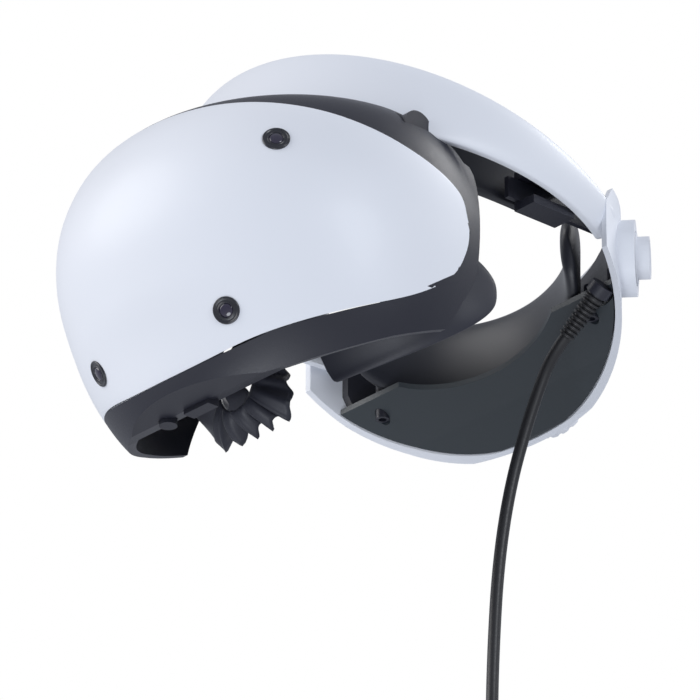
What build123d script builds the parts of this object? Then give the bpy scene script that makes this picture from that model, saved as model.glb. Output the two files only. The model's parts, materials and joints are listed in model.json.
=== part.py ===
"""Console virtual reality headset on a rigid halo band, in millimetres.

+X is the wearer's left, -Y is forward, +Z is up. The origin is the middle of the wearer's head.
"""
from build123d import *
from math import cos, pi, radians, sin, tan
import os

os.makedirs("parts", exist_ok=True)

# Visor: level sections of its outer skin, as (height, half width, most forward y)
VISOR_MID_Y = -50
VISOR_SECTIONS = [(60, 62, -104), (50, 82, -130), (25, 95, -148), (-5, 97, -152), (-35, 92, -141),
                  (-55, 84, -129), (-75, 66, -117)]
SKIN = 2.4
SEAM = 0.6
# The seam between the white cover and the dark housing, as (y, z) seen from the side
COVER_EDGE = [(-150, 53), (-131, 51), (-108, 44), (-65, 28), (-36, 15), (-28, -3), (-35, -24),
              (-64, -44), (-107, -61), (-122, -71), (-130, -78)]
UPPER_CAMERA = (70, -120.5, 21.5)
LOWER_CAMERA = (41.7, -120, -51.5)
UPPER_CAMERA_TURN = 31
LOWER_CAMERA_TURN = 15
LOWER_CAMERA_DIP = 30
CAMERA_RADIUS = 6
FUNCTION_BUTTON = (0, -98.5, -72.5)
POWER_BUTTON = (-21, -99, -72.5)
NOSE_FRONT = -84

# Optics
LENS_X = 32
LENS_Y = -66
LENS_RADIUS = 24
DISPLAY_Y = -108
SIDE_CONTROL_X = 84
SIDE_CONTROL_Y = -50
SPACING_DIAL_Z = 44
SCOPE_BUTTON_Z = 48

# Halo band and its side view
HALO_A = 99
HALO_B = 96
HALO_Y = 19
HALO_WALL = 4
# Room that the housing leaves under the halo's flared front
HALO_FLARE_B = 106
HALO_FLARE_Y = 9.3

# Rear unit
REAR_A = 101
REAR_B = 66
REAR_Y = 36
REAR_SIDE = [(56, 47), (84, 44), (112, 33), (112, -29), (97, -26), (84, -14), (66, 1), (50, 16), (50, 38)]
HUB = (88, 78, 23)
HUB_TURN = 47
KNOB_RADIUS = 12
KNOB_AXLE = 3
DIAL_Y = 103
DIAL_Z = 4.9
DIAL_RADIUS = 25

# Cable
CABLE_D = 5.5
EXIT = (77.6, 61.2, 1.0)
RELIEF_END = (62.1, 59.7, -11.5)
ROUTE = [RELIEF_END, (52.8, 58.8, -19), (45.8, 57.2, -34.5), (38.8, 55.7, -52.5), (32.8, 54.2, -71.5),
         (27.8, 53.2, -93.5), (24.3, 52.5, -118.5), (22.3, 52.2, -145.5), (20.8, 52.2, -172.5),
         (20.6, 52.2, -195.5), (20.5, 51.7, -211.5)]
COIL_RADIUS = 31
COIL_BUNDLE = 15
COIL_CENTRE = (-10.7, 52.2, -243.5)


def save(piece, name):
    """Labels a finished piece and writes its file."""
    piece.part.label = name
    export_step(piece.part, f"parts/{name}.step")


def visor_solid(inset):
    """The visor's outer form, drawn in by inset on every side but its top and bottom."""
    with BuildPart() as form:
        for height, half_width, front in VISOR_SECTIONS:
            with BuildSketch(Plane.XY.offset(height * (1 - inset / 70))):
                with Locations((0, VISOR_MID_Y)):
                    Ellipse(half_width - inset, VISOR_MID_Y - front - inset)
        loft()
    return form.part


def side_region(points, half_width):
    """A prism across the head whose side view is the closed outline through points, as (y, z)."""
    with BuildPart() as prism:
        with BuildSketch(Plane.YZ):
            with BuildLine():
                Polyline(*points, close=True)
            make_face()
        extrude(amount=half_width, both=True)
    return prism.part


def oval_wall(a, b, mid_y, wall, low, high):
    """A standing oval wall around the head."""
    with BuildPart() as ring:
        with BuildSketch(Plane.XY.offset(low)):
            with Locations((0, mid_y)):
                Ellipse(a, b)
                Ellipse(a - wall, b - wall, mode=Mode.SUBTRACT)
        extrude(amount=high - low)
    return ring.part


def facing(place, turn, dip=0):
    """A plane at place that faces forward, turned to the side by turn and down by dip, in degrees."""
    turn, dip = radians(turn), radians(dip)
    normal = Vector(sin(turn) * cos(dip), -cos(turn) * cos(dip), -sin(dip))
    return Plane(origin=place, x_dir=Vector(cos(turn), sin(turn), 0), z_dir=normal)


def disc(plane, radius, depth, start=0, hole=0):
    """A round plate on a plane, from start along its normal, with an optional hole."""
    with BuildPart() as plate:
        with BuildSketch(plane.offset(start)):
            Circle(radius)
            if hole:
                Circle(hole, mode=Mode.SUBTRACT)
        extrude(amount=depth)
    return plate.part


CAMERAS = []
for side in (1, -1):
    CAMERAS.append(facing((side * UPPER_CAMERA[0], *UPPER_CAMERA[1:]), side * UPPER_CAMERA_TURN))
    low_place = (side * LOWER_CAMERA[0], *LOWER_CAMERA[1:])
    CAMERAS.append(facing(low_place, side * LOWER_CAMERA_TURN, LOWER_CAMERA_DIP))

OUTER = visor_solid(0)
INNER = visor_solid(SKIN)
FRONT_SIDE = side_region([(-170, 54)] + COVER_EDGE + [(-170, -85)], 120)
HOUSING_SIDE = side_region([(-150, 70), (-150, 53 + SEAM)] + [(y + SEAM, z) for y, z in COVER_EDGE[1:]]
                           + [(-130, -85), (-92, -72), (-60, -58), (-34, -48), (-20, -20), (-20, 30),
                              (-34, 70)], 120)
with BuildPart() as nose_tool:
    with BuildSketch(Plane.XZ.offset(20)):
        with BuildLine():
            Polyline((-27, -90), (-20, -44), (-8, -28), (8, -28), (20, -44), (27, -90), close=True)
        make_face()
    extrude(amount=-20 - NOSE_FRONT)
NOSE_SPACE = nose_tool.part

# White front cover, with a hole for each tracking camera
with BuildPart() as front_cover:
    add(OUTER)
    add(INNER, mode=Mode.SUBTRACT)
    add(FRONT_SIDE, mode=Mode.INTERSECT)
    for plane in CAMERAS:
        add(disc(plane, CAMERA_RADIUS + 0.3, 24, -8), mode=Mode.SUBTRACT)
save(front_cover, "front_cover")

# Dark housing behind and under the cover, open towards the face and at the nose
with BuildPart() as visor_housing:
    add(OUTER)
    add(INNER, mode=Mode.SUBTRACT)
    add(HOUSING_SIDE, mode=Mode.INTERSECT)
    add(NOSE_SPACE, mode=Mode.SUBTRACT)
    with Locations(FUNCTION_BUTTON):
        Box(16.4, 6.4, 30, mode=Mode.SUBTRACT)
    with Locations(POWER_BUTTON):
        Cylinder(4.2, 30, mode=Mode.SUBTRACT)
    with Locations((-SIDE_CONTROL_X, SIDE_CONTROL_Y, 54)):
        Box(8.6, 20.6, 26, mode=Mode.SUBTRACT)
    with Locations((SIDE_CONTROL_X, SIDE_CONTROL_Y, 50)):
        Box(5.6, 17.2, 30, mode=Mode.SUBTRACT)
    with BuildSketch(Plane.XY.offset(45)):
        with Locations((0, HALO_FLARE_Y)):
            Ellipse(HALO_A + 2, HALO_FLARE_B)
    extrude(amount=40, mode=Mode.SUBTRACT)
    with BuildSketch(Plane.XY.offset(34)):
        with Locations((0, HALO_Y)):
            Ellipse(HALO_A + 1.5, HALO_B + 1.5)
        with Locations((0, -68)):
            Rectangle(76, 30)
    extrude(amount=60, mode=Mode.SUBTRACT)
save(visor_housing, "visor_housing")

# Tracking cameras: barrels and their glass
with BuildPart() as tracking_cameras:
    for plane in CAMERAS:
        add(disc(plane, CAMERA_RADIUS, 9.4, -9, 3))
save(tracking_cameras, "tracking_cameras")
with BuildPart() as camera_glasses:
    for plane in CAMERAS:
        add(disc(plane, 3, 5.4, -6))
save(camera_glasses, "camera_glasses")

# Inner frame: an upright plate that carries the displays, the board and the fan
with BuildPart() as inner_frame:
    with BuildSketch(Plane.XZ.offset(90)):
        with Locations((0, 4)):
            RectangleRounded(150, 68, 20)
        for side in (1, -1):
            with Locations((side * LENS_X, 0)):
                Circle(28.5, mode=Mode.SUBTRACT)
    extrude(amount=3)
save(inner_frame, "inner_frame")

with BuildPart() as main_board:
    with BuildSketch(Plane.XZ.offset(116)):
        RectangleRounded(92, 56, 4)
    extrude(amount=1.6)
    with BuildSketch(Plane.XZ.offset(117.6)):
        with Locations((-22, 8), (12, -10)):
            Rectangle(14, 14)
    extrude(amount=1.4)
save(main_board, "main_board")

# Displays, and for each eye a lens barrel that slides sideways with its lens and light ring
for side, word in ((1, "left"), (-1, "right")):
    with BuildPart() as display:
        with BuildSketch(Plane.XZ.offset(-DISPLAY_Y)):
            with Locations((side * (LENS_X + 1), 0)):
                RectangleRounded(50, 52, 3)
        extrude(amount=3)
    save(display, f"display_{word}")
    eye = Plane(origin=(side * LENS_X, LENS_Y, 0), x_dir=(-1, 0, 0), z_dir=(0, 1, 0))
    with BuildPart() as barrel:
        add(disc(eye, LENS_RADIUS, 40, -40, LENS_RADIUS - 2))
        with BuildSketch(Plane.XZ.offset(100)):
            with Locations((side * (LENS_X - 6), 30)):
                Rectangle(38, 3)
            with Locations((side * LENS_X, 26)):
                Rectangle(5, 8)
        extrude(amount=4)
    save(barrel, f"lens_barrel_{word}")
    with BuildPart() as lens:
        add(disc(eye, LENS_RADIUS - 2, 11, -11))
        with Locations((side * LENS_X, LENS_Y - 44, 0)):
            Sphere(44, mode=Mode.INTERSECT)
    save(lens, f"lens_{word}")
    with BuildPart() as light_ring:
        add(disc(eye, LENS_RADIUS + 2.5, 3, -3, LENS_RADIUS))
    save(light_ring, f"eye_light_ring_{word}")

# Lens spacing dial on the visor's upper left
with BuildPart() as ipd_dial:
    with Locations(Location((SIDE_CONTROL_X, SIDE_CONTROL_Y, SPACING_DIAL_Z), (0, 90, 0))):
        Cylinder(8, 5)
save(ipd_dial, "lens_spacing_dial")

# Cooling fan over the board
FAN_Y = -101
with BuildPart() as fan_housing:
    with BuildSketch(Plane.XY.offset(41)):
        with Locations((0, FAN_Y)):
            Circle(17)
            Circle(15.5, mode=Mode.SUBTRACT)
    extrude(amount=9)
    with BuildSketch(Plane.XY.offset(40)):
        with Locations((0, FAN_Y)):
            Circle(17)
    extrude(amount=1)
    with Locations((0, FAN_Y, 43)):
        Cylinder(1.2, 4)
save(fan_housing, "fan_housing")
with BuildPart() as fan_wheel:
    with BuildSketch(Plane.XY.offset(42)):
        with Locations((0, FAN_Y)):
            Circle(6)
            with PolarLocations(10, 9):
                Rectangle(9, 1.2, rotation=20)
            Circle(1.25, mode=Mode.SUBTRACT)
    extrude(amount=6)
save(fan_wheel, "fan_wheel")

# Soft light shield that closes on the face: a wide sleeve with a notch for the nose
with BuildPart() as light_shield:
    for inset, mode in ((0, Mode.ADD), (3, Mode.SUBTRACT)):
        with BuildSketch(Plane.XZ.offset(52)):
            with Locations((0, -5)):
                RectangleRounded(160 - 2 * inset, 78 - 2 * inset, 32 - inset)
        with BuildSketch(Plane.XZ.offset(-10)):
            with Locations((0, -21)):
                RectangleRounded(172 - 2 * inset, 70 - 2 * inset, 30 - inset)
        loft(mode=mode)
    with BuildSketch(Plane.XY.offset(-70)):
        with Locations((0, 6)):
            Ellipse(80, 52)
    extrude(amount=140, mode=Mode.SUBTRACT)
    add(NOSE_SPACE, mode=Mode.SUBTRACT)
    with Locations((0, -10, -60)):
        Box(54, 60, 50, mode=Mode.SUBTRACT)
save(light_shield, "light_shield")

# Soft nose flap with its folded lower edge
with BuildPart() as nose_flap:
    with BuildSketch(Plane.XZ.offset(62)):
        with BuildLine():
            Polyline((-24, -74), (-18.5, -46), (-7, -30), (7, -30), (18.5, -46), (24, -74),
                     (20, -80), (15, -74), (10, -80), (5, -74), (0, -80), (-5, -74), (-10, -80),
                     (-15, -74), (-20, -80), close=True)
        make_face()
        with Locations((0, -57)):
            Ellipse(11, 13, mode=Mode.SUBTRACT)
    extrude(amount=20)
save(nose_flap, "nose_flap")

# Buttons under and on the visor
with BuildPart() as function_button:
    with Locations(FUNCTION_BUTTON):
        Box(16, 6, 9)
save(function_button, "function_button")
with BuildPart() as power_button:
    with Locations(POWER_BUTTON):
        Cylinder(4, 9)
save(power_button, "power_button")
with BuildPart() as scope_button:
    with Locations((-SIDE_CONTROL_X, SIDE_CONTROL_Y, SCOPE_BUTTON_Z)):
        Box(8, 20, 9)
save(scope_button, "scope_release_button")

# The visor's bushings slide on two rods that a bracket holds under the halo's forehead
ROD_X = 26
ROD_Z = 44
ROD_RADIUS = 2.5
with BuildPart() as slide_bushings:
    with Locations((ROD_X, -90, ROD_Z - 0.75), (-ROD_X, -90, ROD_Z - 0.75)):
        Box(9, 12, 10.5)
    with BuildSketch(Plane.XZ.offset(80)):
        with Locations((ROD_X, ROD_Z), (-ROD_X, ROD_Z)):
            Circle(ROD_RADIUS + 0.05)
    extrude(amount=20, mode=Mode.SUBTRACT)
save(slide_bushings, "slide_bushings")
with BuildPart() as slide_rods:
    with BuildSketch(Plane.XZ.offset(82)):
        with Locations((ROD_X, ROD_Z), (-ROD_X, ROD_Z)):
            Circle(ROD_RADIUS)
    extrude(amount=42)
save(slide_rods, "slide_rods")
with BuildPart() as halo_bracket:
    with Locations((0, -80.5, 52)):
        Box(70, 3, 28)
save(halo_bracket, "halo_bracket")

# Halo band: a rigid oval that is high on the forehead and falls to the ears
HALO_OUTLINE = [(-95, 98), (-62, 93), (-20, 74), (20, 56), (50, 43), (61, 36), (60, 26), (56, 22),
                (20, 31), (-30, 40), (-66, 49), (-95, 58)]
with BuildPart() as halo_band:
    add(oval_wall(HALO_A, HALO_B, HALO_Y, HALO_WALL, -10, 110))
    add(side_region(HALO_OUTLINE, 120), mode=Mode.INTERSECT)
save(halo_band, "halo_band")
PAD_OUTLINE = [(-95, 92), (-62, 86), (-20, 66), (20, 53), (40, 46), (46, 39), (42, 33),
               (20, 31), (-20, 35), (-48, 42), (-66, 56), (-95, 62)]
with BuildPart() as halo_liner:
    add(oval_wall(HALO_A - HALO_WALL, HALO_B - HALO_WALL, HALO_Y, 3, -10, 110))
    add(side_region([(-95, 90), (-62, 84), (-36, 72), (-36, 46), (-66, 54), (-95, 62)], 120),
        mode=Mode.INTERSECT)
save(halo_liner, "halo_liner")
with BuildPart() as front_pad:
    add(oval_wall(79, HALO_B - HALO_WALL - 3.5, HALO_Y, 9, -10, 110))
    add(side_region(PAD_OUTLINE, 120), mode=Mode.INTERSECT)
save(front_pad, "front_pad")

# Each side: a rail on the rear unit slides in a guide inside the halo
with BuildPart() as side_guides:
    for side in (1, -1):
        for step in (1, -1):
            with Locations((side * 86.75, 24, 36 + step * 7.5)):
                Box(12.5, 24, 4)
save(side_guides, "side_guides")
with BuildPart() as side_rails:
    for side in (1, -1):
        with Locations((side * 82, 36, 36)):
            Box(2.5, 60, 10)
save(side_rails, "side_rails")

# Rear unit: white shell, dark frame, soft pad and the panel underneath
EARBUDS = [(68.3, 69, 5.5), (-68.3, 69, 5.5)]
EARBUD_RADIUS = 1.8
RELIEF_RUN = Vector(*RELIEF_END) - Vector(*EXIT)
RELIEF_PLANE = Plane(origin=EXIT, z_dir=RELIEF_RUN)
REAR_REGION = side_region(REAR_SIDE, 120)
HUB_PLANES = [facing((side * HUB[0], HUB[1], HUB[2]), side * (180 - HUB_TURN)) for side in (1, -1)]
DIAL_PLANE = Plane(origin=(0, DIAL_Y, DIAL_Z), x_dir=(-1, 0, 0), z_dir=(0, 1, 0))
with BuildPart() as rear_shell:
    add(oval_wall(REAR_A, REAR_B, REAR_Y, 3, -60, 60))
    add(REAR_REGION, mode=Mode.INTERSECT)
    for plane in HUB_PLANES:
        add(disc(plane, 17, 12, -12))
        add(disc(plane, KNOB_RADIUS + 0.3, 30, -5), mode=Mode.SUBTRACT)
        add(disc(plane, KNOB_AXLE + 0.3, 30, -9.5), mode=Mode.SUBTRACT)
    with BuildSketch(Plane.XY.offset(-60)):
        with Locations((0, REAR_Y)):
            Ellipse(REAR_A - 3, REAR_B - 3)
    extrude(amount=120, mode=Mode.SUBTRACT)
    add(disc(DIAL_PLANE, 10.4, 30, -15), mode=Mode.SUBTRACT)
save(rear_shell, "rear_shell")
with BuildPart() as rear_frame:
    add(oval_wall(REAR_A - 3, REAR_B - 3, REAR_Y, 3, -60, 60))
    add(side_region([(63, 42), (84, 38), (112, 27), (112, -26), (97, -23), (84, -10.5), (66, 4.5),
                     (63, 14)], 120), mode=Mode.INTERSECT)
    add(disc(DIAL_PLANE, 10.4, 30, -15), mode=Mode.SUBTRACT)
    add(disc(RELIEF_PLANE, 6.5, 30, -9), mode=Mode.SUBTRACT)
    for side in (1, -1):
        with Locations((side * 78, 44, 38)):
            Box(30, 54, 14, mode=Mode.SUBTRACT)
save(rear_frame, "rear_frame")
with BuildPart() as rear_pad:
    add(oval_wall(REAR_A - 22, REAR_B - 9, REAR_Y, 9, -60, 60))
    add(side_region([(54, 45), (84, 36), (112, 23), (112, -22), (94, -18), (80, -4), (64, 8), (54, 18),
                     (49, 30)], 120), mode=Mode.INTERSECT)
    add(disc(RELIEF_PLANE, 6.5, 30, -9), mode=Mode.SUBTRACT)
    with Locations(*EARBUDS):
        Cylinder(3.6, 40, mode=Mode.SUBTRACT)
save(rear_pad, "rear_pad")

# Panel under the rear unit, open where the cable leaves, with two sockets that store the earbuds
with BuildPart() as bottom_panel:
    add(oval_wall(REAR_A - 3.6, REAR_B - 3.6, REAR_Y, 26, -60, 60))
    add(side_region([(62, 7.5), (66, 4), (84, -11), (97, -23.5), (112, -26.5), (112, -29), (97, -26),
                     (84, -13.5), (66, 1.5), (62, 5)], 120), mode=Mode.INTERSECT)
    add(disc(RELIEF_PLANE, 6.5, 40, -9), mode=Mode.SUBTRACT)
    with Locations(*EARBUDS):
        Cylinder(3.4, 40, mode=Mode.SUBTRACT)
save(bottom_panel, "bottom_panel")
with BuildPart() as earbud_sockets:
    with Locations(*EARBUDS):
        Cylinder(3.2, 16)
        Cylinder(EARBUD_RADIUS, 16, mode=Mode.SUBTRACT)
save(earbud_sockets, "earbud_sockets")

# Round knob at each side of the rear unit
for plane, word in zip(HUB_PLANES, ("left", "right")):
    with BuildPart() as knob:
        add(disc(plane, KNOB_AXLE, 6, -9))
        add(disc(plane, KNOB_RADIUS, 4, -3.5))
        add(disc(plane, 9.5, 5.5, 0.5))
        add(disc(plane, 8, 2, 4), mode=Mode.SUBTRACT)
        with BuildSketch(plane.offset(3.5)):
            Rectangle(3.2, 15.4)
        extrude(amount=2.5)
    save(knob, f"side_knob_{word}")

# Fit dial at the back, with a release button in its middle
with BuildPart() as fit_dial:
    with BuildSketch(DIAL_PLANE):
        Circle(DIAL_RADIUS)
        with PolarLocations(DIAL_RADIUS + 1.2, 24):
            Circle(2, mode=Mode.SUBTRACT)
        Circle(10.2, mode=Mode.SUBTRACT)
    extrude(amount=11)
save(fit_dial, "fit_dial")
with BuildPart() as release_button:
    add(disc(DIAL_PLANE, 10, 9, 3.5))
save(release_button, "release_button")
with BuildPart() as button_seat:
    add(disc(DIAL_PLANE, 9.8, 4, -9.2))
save(button_seat, "button_seat")
with BuildPart() as dial_pinion:
    add(disc(DIAL_PLANE, 9.6, 4.4, -4.6, 4))
save(dial_pinion, "dial_pinion")

# Cable: gland in the rear unit, ribbed strain relief, cable, tied coil and plug
with BuildPart() as cable_gland:
    add(disc(RELIEF_PLANE, 5.5, 5, -8))
    add(disc(RELIEF_PLANE, 4, 3, -3))
save(cable_gland, "cable_gland")
RIBS = 9
with BuildPart() as strain_relief:
    with BuildSketch(RELIEF_PLANE):
        Circle(3.6)
    with BuildSketch(RELIEF_PLANE.offset(RELIEF_RUN.length)):
        Circle(3.1)
    loft()
    for rib in range(RIBS):
        add(disc(RELIEF_PLANE, 4.1, 1.1, 0.6 + rib * (RELIEF_RUN.length - 2) / RIBS))
save(strain_relief, "strain_relief")

corners = [Vector(*point) for point in ROUTE]
runs = [(b - a).length for a, b in zip(corners, corners[1:])]
radii = []
for before, corner, after, short in zip(corners, corners[1:], corners[2:], map(min, runs, runs[1:])):
    turn = radians((corner - before).get_angle(after - corner))
    radii.append(0.45 * short / tan(turn / 2))
with BuildPart() as cable:
    with BuildLine():
        centre_line = FilletPolyline(*ROUTE, radius=radii)
    with BuildSketch(Plane(origin=ROUTE[0], z_dir=corners[1] - corners[0])):
        Circle(CABLE_D / 2)
    sweep()
save(cable, "cable")
section = pi * CABLE_D ** 2 / 4
print("cable radii", [round(r, 1) for r in radii], "runs", [round(r, 1) for r in runs])
print("cable tube", round(centre_line.length, 1),
      "volume ratio", round(cable.part.volume / section / centre_line.length, 4))

# The rest of the cable is wound into one neat coil, which hangs from the tube's end
with BuildPart() as cable_coil:
    with BuildSketch(Plane(origin=COIL_CENTRE, x_dir=(1, 0, 0), z_dir=(0, 0, 1))):
        with Locations((COIL_RADIUS, 0)):
            Circle(COIL_BUNDLE)
    revolve(axis=Axis(COIL_CENTRE, (0, 1, 0)))
save(cable_coil, "cable_coil")
PLUG_TOP = (COIL_CENTRE[0] + COIL_RADIUS, COIL_CENTRE[1] - 9, COIL_CENTRE[2] - 31.5)
with BuildPart() as cable_plug:
    with BuildSketch(Plane(origin=PLUG_TOP, z_dir=(0, 0, -1))):
        Circle(3.4)
    with BuildSketch(Plane(origin=PLUG_TOP, z_dir=(0, 0, -1)).offset(12)):
        Circle(3.8)
    loft()
    with BuildSketch(Plane(origin=PLUG_TOP, x_dir=(1, 0, 0), z_dir=(0, 0, -1)).offset(12)):
        RectangleRounded(12, 6.6, 3)
    extrude(amount=19)
    with BuildSketch(Plane(origin=PLUG_TOP, x_dir=(1, 0, 0), z_dir=(0, 0, -1)).offset(31)):
        RectangleRounded(8.3, 2.5, 1.2)
    extrude(amount=6.5)
save(cable_plug, "cable_plug")
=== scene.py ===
import json
from math import asin, cos, pi, radians, sin, sqrt

import bmesh
import bpy
from mathutils import Matrix, Vector


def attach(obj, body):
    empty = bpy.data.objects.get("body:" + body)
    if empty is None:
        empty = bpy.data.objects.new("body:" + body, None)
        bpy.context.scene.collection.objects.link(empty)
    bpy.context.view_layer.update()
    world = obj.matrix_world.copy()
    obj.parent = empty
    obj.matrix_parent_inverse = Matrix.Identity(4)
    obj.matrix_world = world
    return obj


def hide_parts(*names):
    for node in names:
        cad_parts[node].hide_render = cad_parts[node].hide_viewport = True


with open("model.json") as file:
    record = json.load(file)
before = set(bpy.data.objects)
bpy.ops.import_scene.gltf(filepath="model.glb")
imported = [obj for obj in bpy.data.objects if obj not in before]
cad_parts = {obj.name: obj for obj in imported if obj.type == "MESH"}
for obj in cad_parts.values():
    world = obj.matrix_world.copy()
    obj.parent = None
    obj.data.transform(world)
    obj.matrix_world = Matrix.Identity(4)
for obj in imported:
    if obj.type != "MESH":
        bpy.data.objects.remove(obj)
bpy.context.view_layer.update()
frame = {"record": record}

MM = 0.001

# ---------------------------------------------------------------- camera, light and stage
AZIMUTH = radians(48.0)
ELEVATION = radians(-26.2)
DISTANCE = 5.0
RIGHT = Vector((cos(AZIMUTH), sin(AZIMUTH), 0))
TO_CAMERA = Vector((sin(AZIMUTH) * cos(ELEVATION), -cos(AZIMUTH) * cos(ELEVATION), sin(ELEVATION)))
UP = TO_CAMERA.cross(RIGHT)
MIDDLE = (RIGHT * -9.0 + UP * -13.8) * MM
FRAME_HEIGHT = 700 / 2.275 * MM


def make_camera():
    data = bpy.data.cameras.new("camera")
    data.sensor_width = 36
    data.lens = 36 * DISTANCE / FRAME_HEIGHT
    data.clip_end = 50
    camera = bpy.data.objects.new("camera", data)
    camera.location = MIDDLE + TO_CAMERA * DISTANCE
    camera.rotation_euler = (-TO_CAMERA).to_track_quat("-Z", "Y").to_euler()
    bpy.context.collection.objects.link(camera)
    bpy.context.scene.camera = camera


def make_area_light(name, place, size, power, colour=(1, 1, 1)):
    data = bpy.data.lights.new(name, "AREA")
    data.shape = "DISK"
    data.size = size
    data.energy = power
    data.color = colour
    light = bpy.data.objects.new(name, data)
    light.location = place
    light.rotation_euler = (-Vector(place)).to_track_quat("-Z", "Y").to_euler()
    bpy.context.collection.objects.link(light)


def make_stage():
    world = bpy.data.worlds.new("studio")
    bpy.context.scene.world = world
    world.use_nodes = True
    nodes = world.node_tree.nodes
    links = world.node_tree.links
    nodes.clear()
    seen = nodes.new("ShaderNodeBackground")
    seen.inputs["Color"].default_value = (1, 1, 1, 1)
    seen.inputs["Strength"].default_value = 1.0
    ambient = nodes.new("ShaderNodeBackground")
    ambient.inputs["Color"].default_value = (0.86, 0.9, 1, 1)
    ambient.inputs["Strength"].default_value = 0.5
    ray = nodes.new("ShaderNodeLightPath")
    mix = nodes.new("ShaderNodeMixShader")
    out = nodes.new("ShaderNodeOutputWorld")
    links.new(ray.outputs["Is Camera Ray"], mix.inputs["Fac"])
    links.new(ambient.outputs["Background"], mix.inputs[1])
    links.new(seen.outputs["Background"], mix.inputs[2])
    links.new(mix.outputs["Shader"], out.inputs["Surface"])
    make_area_light("key", (-1.2, -2.0, 0.9), 2.4, 44, (1, 0.985, 0.97))
    make_area_light("side", (2.2, -0.2, 0.3), 0.9, 16, (0.93, 0.96, 1))
    make_area_light("under", (0.3, -0.9, -1.7), 1.0, 10, (0.9, 0.94, 1))
    make_area_light("rim", (0.6, 1.8, 1.6), 1.0, 22)
    bpy.context.scene.view_settings.view_transform = "Standard"
    floor_z = -2.6
    mesh = bpy.data.meshes.new("floor")
    size = 40
    corners = [(-size, -size), (size, -size), (size, size), (-size, size)]
    mesh.from_pydata([(x, y, floor_z) for x, y in corners], [], [(0, 1, 2, 3)])
    floor = bpy.data.objects.new("floor", mesh)
    bpy.context.collection.objects.link(floor)
    floor.data.materials.append(moulded("floor_paint", (0.9, 0.9, 0.9), 0.6, grain=40, depth=0.01))


# ---------------------------------------------------------------- materials
def moulded(name, colour, roughness, grain=2500, depth=0.04, mottle=0.06, coat=0.0, metallic=0.0, sheen=0.0):
    """Moulded plastic, rubber or metal: fine grain, uneven gloss and a faint change of shade."""
    material = bpy.data.materials.new(name)
    material.use_nodes = True
    nodes = material.node_tree.nodes
    links = material.node_tree.links
    shader = nodes["Principled BSDF"]
    shader.inputs["Metallic"].default_value = metallic
    shader.inputs["Coat Weight"].default_value = coat
    shader.inputs["Coat Roughness"].default_value = 0.12
    shader.inputs["Sheen Weight"].default_value = sheen
    place = nodes.new("ShaderNodeTexCoord")
    broad = nodes.new("ShaderNodeTexNoise")
    broad.inputs["Scale"].default_value = 14
    broad.inputs["Detail"].default_value = 4
    fine = nodes.new("ShaderNodeTexNoise")
    fine.inputs["Scale"].default_value = grain
    fine.inputs["Detail"].default_value = 2
    for texture in (broad, fine):
        links.new(place.outputs["Object"], texture.inputs["Vector"])
    shade = nodes.new("ShaderNodeMix")
    shade.data_type = "RGBA"
    shade.inputs[6].default_value = (*[c * (1 - mottle) for c in colour], 1)
    shade.inputs[7].default_value = (*[min(c * (1 + mottle), 1) for c in colour], 1)
    links.new(broad.outputs["Fac"], shade.inputs[0])
    links.new(shade.outputs[2], shader.inputs["Base Color"])
    gloss = nodes.new("ShaderNodeMapRange")
    gloss.inputs["From Min"].default_value = 0.3
    gloss.inputs["From Max"].default_value = 0.7
    gloss.inputs["To Min"].default_value = roughness * 0.88
    gloss.inputs["To Max"].default_value = min(roughness * 1.12, 1)
    links.new(fine.outputs["Fac"], gloss.inputs["Value"])
    links.new(gloss.outputs["Result"], shader.inputs["Roughness"])
    bump = nodes.new("ShaderNodeBump")
    bump.inputs["Strength"].default_value = depth
    bump.inputs["Distance"].default_value = 0.0004
    links.new(fine.outputs["Fac"], bump.inputs["Height"])
    links.new(bump.outputs["Normal"], shader.inputs["Normal"])
    return material


def optical_glass(name, colour, roughness=0.03):
    """Dark coated glass: a glossy coat over a near-black body."""
    material = moulded(name, colour, roughness, grain=900, depth=0.0, mottle=0.5, coat=1.0)
    material.node_tree.nodes["Principled BSDF"].inputs["Coat Roughness"].default_value = 0.02
    return material


WHITE = moulded("white_shell", (0.76, 0.785, 0.84), 0.46, coat=0.05, mottle=0.012)
WHITE_TRIM = moulded("white_trim", (0.74, 0.76, 0.81), 0.5, mottle=0.012)
DARK = moulded("dark_shell", (0.0155, 0.0165, 0.026), 0.42, grain=1800, depth=0.12, mottle=0.12)
PANEL = moulded("rear_panel", (0.028, 0.036, 0.043), 0.38, grain=1600, depth=0.1, mottle=0.08)
RUBBER = moulded("soft_rubber", (0.017, 0.0185, 0.03), 0.48, grain=2600, depth=0.12, mottle=0.1, sheen=0.1)
PAD = moulded("soft_pad", (0.012, 0.0135, 0.021), 0.4, grain=2200, depth=0.1, mottle=0.1, sheen=0.15)
CABLE = moulded("cable_rubber", (0.015, 0.015, 0.017), 0.42, grain=1500, depth=0.08, mottle=0.12)
RING = moulded("camera_ring", (0.009, 0.01, 0.016), 0.3, grain=1500, depth=0.05, coat=0.4)
STEEL = moulded("ground_steel", (0.6, 0.6, 0.62), 0.28, grain=700, metallic=1.0)
BOARD = moulded("circuit_board", (0.015, 0.09, 0.045), 0.45, grain=260, depth=0.3, mottle=0.5)
GLASS = optical_glass("coated_glass", (0.012, 0.008, 0.03))
DISPLAY = optical_glass("display_glass", (0.006, 0.006, 0.008), 0.06)
SLOTS = {"white_shell": WHITE, "white_trim": WHITE_TRIM, "dark_shell": DARK, "panel": PANEL,
         "camera_ring": RING, "optical_glass": GLASS, "display": DISPLAY, "board": BOARD,
         "soft_rubber": RUBBER, "soft_pad": PAD, "steel": STEEL, "cable_rubber": CABLE}


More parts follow.
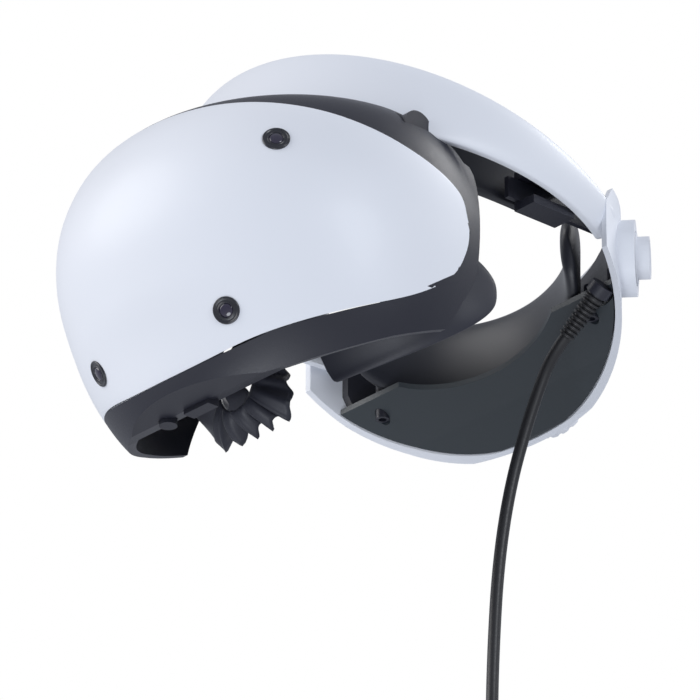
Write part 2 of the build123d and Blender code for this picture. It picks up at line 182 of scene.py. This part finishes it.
# ---------------------------------------------------------------- mesh helpers
def new_piece(name, body, slot, verts, faces, material=None, levels=0):
    """Makes a piece from points in millimetres; it rides on a body and takes a slot's finish."""
    mesh = bpy.data.meshes.new(name)
    mesh.from_pydata([Vector(v) * MM for v in verts], [], faces)
    work = bmesh.new()
    work.from_mesh(mesh)
    bmesh.ops.remove_doubles(work, verts=work.verts, dist=1e-7)
    bmesh.ops.recalc_face_normals(work, faces=work.faces)
    work.to_mesh(mesh)
    work.free()
    piece = bpy.data.objects.new(name, mesh)
    bpy.context.collection.objects.link(piece)
    mesh.materials.append(material or SLOTS[slot])
    for face in mesh.polygons:
        face.use_smooth = True
    if levels:
        modifier = piece.modifiers.new("smooth", "SUBSURF")
        modifier.levels = modifier.render_levels = levels
    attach(piece, body)
    return piece


def loops_to_faces(loops, count, closed=False):
    """Faces between rings of count points each, capped at both ends unless closed."""
    faces = []
    pairs = loops if closed else loops - 1
    for i in range(pairs):
        a, b = i * count, ((i + 1) % loops) * count
        for j in range(count):
            k = (j + 1) % count
            faces.append((a + j, a + k, b + k, b + j))
    if not closed:
        faces.append(tuple(range(count)))
        faces.append(tuple(range((loops - 1) * count, loops * count))[::-1])
    return faces


def ease(value, low, high):
    """0 below low, 1 above high, and smooth between them."""
    t = min(max((value - low) / (high - low), 0), 1)
    return t * t * (3 - 2 * t)


def curve_through(points, value):
    """A smooth curve through (input, output) points, sorted by input."""
    if value <= points[0][0]:
        return points[0][1]
    if value >= points[-1][0]:
        return points[-1][1]
    for i in range(len(points) - 1):
        if value <= points[i + 1][0]:
            break
    (x0, y0), (x1, y1) = points[i], points[i + 1]
    before = points[i - 1] if i else (2 * x0 - x1, 2 * y0 - y1)
    after = points[i + 2] if i + 2 < len(points) else (2 * x1 - x0, 2 * y1 - y0)
    m0 = (y1 - before[1]) / (x1 - before[0])
    m1 = (after[1] - y0) / (after[0] - x0)
    t = (value - x0) / (x1 - x0)
    h = x1 - x0
    return ((2 * t ** 3 - 3 * t ** 2 + 1) * y0 + (t ** 3 - 2 * t ** 2 + t) * h * m0
            + (3 * t ** 2 - 2 * t ** 3) * y1 + (t ** 3 - t ** 2) * h * m1)


# How far a ribbon narrows at its very ends, as a share of its full section
SMALLEST_END = 0.04


def ribbon(name, body, slot, station, steps, around, square, end):
    """A band with rounded rims and ends. station(u) gives low edge, high edge, outward, thickness, bulge."""
    verts = []
    us = [0.5 - 0.5 * cos(pi * i / steps) for i in range(steps + 1)]
    for u in us:
        low, high, outward, thick, bulge = station(u)
        near = min(u, 1 - u)
        shrink = sqrt(max(1 - (1 - near / end) ** 2, 0.0)) if near < end else 1
        shrink = max(shrink, SMALLEST_END)
        mid = (low + high) / 2
        half = (high - low) / 2 * shrink
        for j in range(around):
            angle = 2 * pi * j / around
            c, s = cos(angle), sin(angle)
            p = abs(c) ** (2 / square) * (1 if c > 0 else -1)
            q = abs(s) ** (2 / square) * (1 if s > 0 else -1)
            push = q * thick / 2 * shrink + bulge * (1 - p * p) * shrink
            verts.append(mid + half * p + outward * push)
    return new_piece(name, body, slot, verts, loops_to_faces(len(us), around), levels=1)


def lathe(name, body, slot, frame_matrix, profile, around=64):
    """A turned piece: profile is (radius, along) pairs; frame_matrix places its axis."""
    verts = []
    for radius, along in profile:
        for j in range(around):
            a = 2 * pi * j / around
            verts.append(frame_matrix @ Vector((radius * cos(a), radius * sin(a), along)))
    return new_piece(name, body, slot, verts, loops_to_faces(len(profile), around))


def axis_frame(place, normal, up=(0, 0, 1)):
    """A matrix whose Z runs along normal, in millimetres."""
    z = Vector(normal).normalized()
    x = Vector(up).cross(z).normalized()
    y = z.cross(x)
    return Matrix.Translation(Vector(place)) @ Matrix((x, y, z)).transposed().to_4x4()


make_camera()

# ---------------------------------------------------------------- cable
CABLE_D = 5.5
EXIT = Vector((77.6, 61.2, 1.0))
RELIEF_END = Vector((62.1, 59.7, -11.5))
ROUTE = [RELIEF_END, (52.8, 58.8, -19), (45.8, 57.2, -34.5), (38.8, 55.7, -52.5), (32.8, 54.2, -71.5),
         (27.8, 53.2, -93.5), (24.3, 52.5, -118.5), (22.3, 52.2, -145.5), (20.8, 52.2, -172.5),
         (20.6, 52.2, -195.5), (20.5, 51.7, -211.5)]
COIL_CENTRE = Vector((-10.7, 52.2, -243.5))
COIL_RADIUS = 31
PLUG_TOP = COIL_CENTRE + Vector((COIL_RADIUS, -9, -31.5))
# Cross-section of the coil: (offset from the mean radius, offset across), in the order that it is wound
LAYERS = [(0, 0), (1, 0), (0.5, 0.87), (-0.5, 0.87), (-1, 0), (-0.5, -0.87), (0.5, -0.87), (1.5, -0.87),
          (2, 0), (1.5, 0.87), (1, 1.73), (0, 1.73), (-1, 1.73), (-1.5, 0.87), (-2, 0), (-1.5, -0.87),
          (-1, -1.73), (0, -1.73), (1, -1.73), (2, -1.73), (2, 1.73), (0, -2.2)]
TURN_POINTS = 14
BUNDLE_RADIUS = 15.6


def coil_points():
    """The turns, wound one beside another from the cable's end to the plug."""
    points = []
    gap = CABLE_D * 1.02
    total = len(LAYERS) * TURN_POINTS
    for i in range(total + 1):
        turn = min(i // TURN_POINTS, len(LAYERS) - 1)
        part = (i % TURN_POINTS) / TURN_POINTS
        here, after = LAYERS[turn], LAYERS[min(turn + 1, len(LAYERS) - 1)]
        blend = ease(part, 0.55, 1.0)
        out = (here[0] + (after[0] - here[0]) * blend) * gap
        across = (here[1] + (after[1] - here[1]) * blend) * gap
        # The spline runs inside its points, so they stand further out than the turn
        radius = (COIL_RADIUS + out) / cos(pi / TURN_POINTS) * 0.988
        angle = -2 * pi * i / TURN_POINTS
        points.append(COIL_CENTRE + Vector((radius * cos(angle), across, radius * sin(angle))))
    return points


def make_cable():
    data = bpy.data.curves.new("cable_line", "CURVE")
    data.dimensions = "3D"
    lead_in = COIL_CENTRE + Vector((COIL_RADIUS, 0, 16))
    points = [Vector(p) for p in ROUTE] + [lead_in] + coil_points()
    points += [COIL_CENTRE + Vector((COIL_RADIUS, -8, -16))]
    points += [PLUG_TOP + Vector((0, 0, 3)), PLUG_TOP + Vector((0, 0, -2))]
    spline = data.splines.new("NURBS")
    spline.points.add(len(points) - 1)
    for point, place in zip(spline.points, points):
        point.co = (*(place * MM), 1)
    spline.order_u = 3
    spline.use_endpoint_u = True
    spline.resolution_u = 5
    data.bevel_depth = CABLE_D / 2 * MM
    data.bevel_resolution = 5
    data.use_fill_caps = True
    cable = bpy.data.objects.new("cable_line", data)
    bpy.context.collection.objects.link(cable)
    data.materials.append(CABLE)
    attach(cable, "rear")
    return cable


def make_relief():
    """Ribbed strain relief: a taper with nine raised rings, open slots between them."""
    run = RELIEF_END - EXIT
    profile = [(0.01, -2), (4.6, -2), (4.6, 0)]
    ribs = 9
    pitch = run.length / ribs
    for i in range(ribs):
        outer = 4.35 - 0.75 * i / ribs
        inner = outer - 1.15
        start = i * pitch
        profile += [(inner, start + 0.1), (inner, start + 0.8), (outer - 0.2, start + 0.95),
                    (outer, start + 1.2), (outer, start + pitch - 0.35), (outer - 0.2, start + pitch - 0.1)]
    profile += [(2.9, run.length), (2.7, run.length + 0.4)]
    placed = axis_frame(EXIT, run, (0, 1, 0))
    return lathe("strain_relief_ribs", "rear", "cable_rubber", placed, profile, around=48)


def make_plug():
    """Moulded plug body with a rounded grip and a metal shell."""
    pieces = []
    sections = [(0, 3.3, 3.3, 2), (6, 3.5, 3.4, 2), (11, 4.2, 3.4, 2.4), (13, 5.8, 3.3, 3),
                (15, 6.0, 3.3, 3.4), (29, 6.0, 3.3, 3.4), (30.6, 5.7, 3.0, 3.2), (31, 5.0, 2.4, 3)]
    shell = [(30.5, 4.15, 1.25, 3.5), (37.2, 4.15, 1.25, 3.5), (37.5, 3.9, 1.05, 3.5), (37.45, 3.5, 0.8, 3.5),
             (32, 3.5, 0.8, 3.5)]
    for name, rows, slot in (("plug_body", sections, "cable_rubber"), ("plug_shell", shell, "steel")):
        verts = []
        around = 40
        for down, half_x, half_y, square in rows:
            for j in range(around):
                c, s = cos(2 * pi * j / around), sin(2 * pi * j / around)
                x = abs(c) ** (2 / square) * (1 if c > 0 else -1) * half_x
                y = abs(s) ** (2 / square) * (1 if s > 0 else -1) * half_y
                verts.append(PLUG_TOP + Vector((x, y, -down)))
        pieces.append(new_piece(name, "rear", slot, verts, loops_to_faces(len(rows), around)))
    return pieces


def make_tie():
    """A flat strap round the coil's bundle, at its top."""
    verts = []
    around = 40
    for along, lift in ((-5, 0), (-5, 0.9), (5, 0.9), (5, 0)):
        for j in range(around):
            a = 2 * pi * j / around
            radius = BUNDLE_RADIUS + lift
            verts.append(COIL_CENTRE + Vector((along, radius * sin(a), COIL_RADIUS - 0.5 + radius * cos(a))))
    return new_piece("coil_tie", "rear", "cable_rubber", verts, loops_to_faces(4, around, closed=True),
                     material=RUBBER)


cable = make_cable()
relief = make_relief()
plug_pieces = make_plug()
tie = make_tie()
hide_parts("cable", "cable_coil")
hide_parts("strain_relief")
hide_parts("cable_plug")

# ---------------------------------------------------------------- visor
VISOR_MID_Y = -50
VISOR_FRONT = [(-80, -112), (-75, -117), (-55, -129), (-35, -141), (-5, -152), (25, -148),
               (50, -130), (60, -104)]
VISOR_HALF_WIDTH = [(-80, 60), (-75, 66), (-55, 84), (-35, 92), (-5, 97), (25, 95), (50, 82), (60, 62)]
# The cover's seam seen from the side: (height, y)
COVER_EDGE = [(-78, -135), (-75, -130), (-71, -122), (-61, -107), (-44, -64), (-34, -46), (-24, -35),
              (-12, -29.3), (-3, -28), (3, -29.3), (15, -36), (28, -65), (44, -108), (51, -131), (53, -150)]
TIP_Z = -3
BELOW_COVER_Z = -78
ABOVE_COVER_Z = 58


def visor_point(angle, z, inset=0.0):
    half_width = curve_through(VISOR_HALF_WIDTH, z) - inset
    depth = VISOR_MID_Y - curve_through(VISOR_FRONT, z) - inset
    return Vector((half_width * sin(angle), VISOR_MID_Y - depth * cos(angle), z))


def behind_edge(angle, z):
    return visor_point(angle, z).y > curve_through(COVER_EDGE, z)


def edge_height(angle, far):
    """The height between the tip's and far at which the column at angle leaves the cover."""
    inside, outside = TIP_Z, far
    for _ in range(40):
        middle = (inside + outside) / 2
        if behind_edge(angle, middle):
            outside = middle
        else:
            inside = middle
    return inside


def cover_limits(angle):
    return edge_height(angle, BELOW_COVER_Z), edge_height(angle, ABOVE_COVER_Z)


def cover_tip():
    """The angle at which the cover's two edges meet, at its rear tip."""
    low, high = radians(80), radians(112)
    for _ in range(40):
        middle = (low + high) / 2
        if behind_edge(middle, TIP_Z):
            high = middle
        else:
            low = middle
    return low


def make_front_cover():
    """The white cover: one smooth sheet from tip to tip, with a rounded rim."""
    tip = cover_tip()
    across, rows = 120, 44
    verts = []
    for i in range(across + 1):
        angle = tip * sin(pi / 2 * (2 * i / across - 1))
        low, high = cover_limits(angle)
        for j in range(rows + 1):
            t = j / rows
            verts.append(visor_point(angle, low + (high - low) * t))
    size = rows + 1
    faces = [(i * size + j, (i + 1) * size + j, (i + 1) * size + j + 1, i * size + j + 1)
             for i in range(across) for j in range(rows)]
    cover = new_piece("front_cover_shell", "scope", "white_shell", verts, faces)
    shell = cover.modifiers.new("wall", "SOLIDIFY")
    shell.thickness = 2.2 * MM
    shell.offset = -1
    shell.use_even_offset = True
    rim = cover.modifiers.new("rim", "BEVEL")
    rim.width = 0.7 * MM
    rim.segments = 3
    rim.limit_method = "ANGLE"
    rim.angle_limit = radians(50)
    rim.harden_normals = False
    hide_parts("front_cover")


make_front_cover()

# ---------------------------------------------------------------- halo
HALO_TOP_MIDDLE = 24.8
HALO_LOW_MIDDLE = 9.3


def halo_edge_high(angle):
    y = HALO_TOP_MIDDLE - 98.5 * cos(angle)
    back = y - HALO_TOP_MIDDLE
    return Vector((98.8 * sin(angle), y, 52.0 - 0.44 * back + 0.7 * (back / 100) ** 2))


def halo_edge_low(angle):
    y = HALO_LOW_MIDDLE - 103 * cos(angle)
    return Vector((98.3 * sin(angle), y, 33.0 - 0.17 * (y - HALO_LOW_MIDDLE)))


def outward_at(angle, a=99, b=96):
    return Vector((sin(angle) / a, -cos(angle) / b, 0)).normalized()


def make_halo():
    reach_high, reach_low = radians(111), radians(119)

    def station(u):
        s = 2 * u - 1
        low, high = halo_edge_low(s * reach_low), halo_edge_high(s * reach_high)
        outward = outward_at(s * reach_high)
        return low, high, outward, 5.0, 2.2

    band = ribbon("halo_band_shell", "halo", "white_shell", station, 120, around=36, square=5, end=0.012)
    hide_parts("halo_band")


make_halo()


# ---------------------------------------------------------------- soft parts
PAD_THICKNESS = 7.4
PAD_HOLLOW = -1.2
FRONT_PAD_TOP = [(-69, 88), (-62, 85), (-20, 65), (20, 52), (46, 39)]
FRONT_PAD_LOW = [(-69, 58), (-66, 57), (-48, 43), (-20, 36), (20, 32), (46, 35)]
REAR_PAD_TOP = [(50, 41), (54, 44), (84, 35), (95, 30)]
REAR_PAD_LOW = [(50, 26), (54, 19), (64, 9), (80, -3), (95, -17)]


def make_pad(name, body, node, middle, radii, front, reach, top, low):
    """A crowned, closed pad that follows an oval; front is -1 for the forehead and 1 for the back."""
    half_x, half_y = radii

    def station(u):
        angle = (2 * u - 1) * reach
        x, y = half_x * sin(angle), middle + front * half_y * cos(angle)
        outward = Vector((sin(angle) / half_x, front * cos(angle) / half_y, 0)).normalized()
        low_edge, high_edge = Vector((x, y, curve_through(low, y))), Vector((x, y, curve_through(top, y)))
        return low_edge, high_edge, outward, PAD_THICKNESS, PAD_HOLLOW

    pad = ribbon(name, body, "soft_pad", station, 72, around=28, square=3, end=0.05)
    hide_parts(node)


make_pad("forehead_pad", "halo", "front_pad", 19, (74.5, 84), -1, radians(107), FRONT_PAD_TOP, FRONT_PAD_LOW)
make_pad("back_pad", "rear", "rear_pad", 36, (74.5, 52.5), 1, radians(73), REAR_PAD_TOP, REAR_PAD_LOW)

SHIELD_FRONT_Y = -52


def shield_rim_y(x):
    """The shield's rear rim follows the face."""
    return 6 - 52 * sqrt(max(1 - (x / 86) ** 2, 0))


def shield_point(angle, along, out):
    """angle runs round the sleeve from its right, along runs from front to rim, out is off its skin."""
    half_x = 80 + 5 * along + out
    half_z = 39 - 4 * along + out
    c, s = cos(angle), sin(angle)
    x = half_x * abs(c) ** 0.75 * (1 if c > 0 else -1)
    z = -5 - 16 * along + half_z * abs(s) ** 0.75 * (1 if s > 0 else -1)
    return Vector((x, SHIELD_FRONT_Y + along * (shield_rim_y(x) - SHIELD_FRONT_Y), z))


def make_light_shield():
    """A soft sleeve with a rolled rim and a low raised band before it, open below for the nose."""
    steps = 120
    skin = [(0, -0.2), (0.25, -0.6), (0.5, -0.9), (0.78, -0.7), (0.84, 0.2), (0.93, 0.5), (0.98, 0.3),
            (1, -0.6), (1, -1.8), (0.98, -2.7), (0.9, -3), (0.5, -3), (0.2, -3), (0, -2.8)]
    half_opening = 0.19
    start = half_opening - pi / 2
    turn = 2 * pi - 2 * half_opening
    verts = [shield_point(start + turn * i / steps, along, out)
             for i in range(steps + 1) for along, out in skin]
    faces = loops_to_faces(steps + 1, len(skin))
    shield = new_piece("face_light_shield", "scope", "soft_rubber", verts, faces, levels=1)
    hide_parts("light_shield")


make_light_shield()

NOSE_Z = -57
FLAP_OUTLINE = [(-24, -73), (-18, -46), (-7, -31), (7, -31), (18, -46), (24, -73), (20, -79.5), (15, -74),
                (10, -79.5), (5, -74), (0, -79.5), (-5, -74), (-10, -79.5), (-15, -74), (-20, -79.5)]


def flap_reach(angle):
    """How far the flap's outline is from the nose hole's middle."""
    dx, dz = cos(angle), sin(angle)
    reach = 0
    for (x0, z0), (x1, z1) in zip(FLAP_OUTLINE, FLAP_OUTLINE[1:] + FLAP_OUTLINE[:1]):
        ex, ez = x1 - x0, z1 - z0
        cross = dx * ez - dz * ex
        if abs(cross) < 1e-9:
            continue
        along = (x0 * ez - (z0 - NOSE_Z) * ex) / cross
        part = (x0 * dz - (z0 - NOSE_Z) * dx) / cross
        if along > 0 and 0 <= part <= 1:
            reach = max(reach, along)
    return reach


def make_nose_flap():
    """A thin pleated flap round the nose, with pointed folds along its lower edge."""
    around, rings = 192, 10
    verts = []
    for ring in range(rings + 1):
        t = ring / rings
        for j in range(around):
            angle = 2 * pi * j / around
            hole = 1 / sqrt((cos(angle) / 11) ** 2 + (sin(angle) / 13) ** 2)
            reach = hole + (flap_reach(angle) - hole) * t
            pleat = 1.6 * cos(16 * angle) * t
            verts.append(Vector((reach * cos(angle), -78 + 11 * t * t + pleat, NOSE_Z + reach * sin(angle))))
    faces = [(r * around + j, r * around + (j + 1) % around, (r + 1) * around + (j + 1) % around,
              (r + 1) * around + j) for r in range(rings) for j in range(around)]
    flap = new_piece("pleated_nose_flap", "scope", "soft_rubber", verts, faces)
    wall = flap.modifiers.new("wall", "SOLIDIFY")
    wall.thickness = 1.5 * MM
    wall.offset = 0
    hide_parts("nose_flap")


make_nose_flap()


# ---------------------------------------------------------------- tracking cameras
def make_cameras():
    """A dark ring with a stepped bore and a domed lens at each corner of the cover."""
    ring_profile = [(6.0, -2), (6.05, 0.35), (5.8, 0.62), (5.3, 0.66), (5.05, 0.5), (4.9, 0.36), (3.9, 0.34),
                    (3.75, 0.5), (3.5, 0.6), (3.25, 0.52), (3.1, 0.3), (3.05, -2)]
    lens_profile = [(3.12, -1), (3.08, 0.28), (2.6, 0.55), (1.9, 0.76), (1.0, 0.9), (0.05, 0.95)]
    rings, lenses = [], []
    for word, x, z in (("upper", 70, 21.5), ("lower", 41.7, -51.5)):
        for side, hand in ((1, "left"), (-1, "right")):
            angle = asin(side * x / curve_through(VISOR_HALF_WIDTH, z))
            place = visor_point(angle, z)
            across = visor_point(angle + 0.01, z) - visor_point(angle - 0.01, z)
            rise = visor_point(angle, z + 1) - visor_point(angle, z - 1)
            normal = across.cross(rise).normalized()
            placed = axis_frame(place, normal)
            where = word + "_" + hand
            rings.append(lathe("camera_ring_" + where, "scope", "camera_ring", placed, ring_profile))
            lenses.append(lathe("camera_lens_" + where, "scope", "optical_glass", placed, lens_profile))
    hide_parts("tracking_cameras")
    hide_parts("camera_glasses")


make_cameras()

# Carried-over CAD nodes take their slot's finish
for row in frame["record"]["subparts"]:
    node = bpy.data.objects.get(row["node"])
    if node and node.type == "MESH":
        node.data.materials.clear()
        node.data.materials.append(SLOTS[row["material_slot"]])

make_stage()
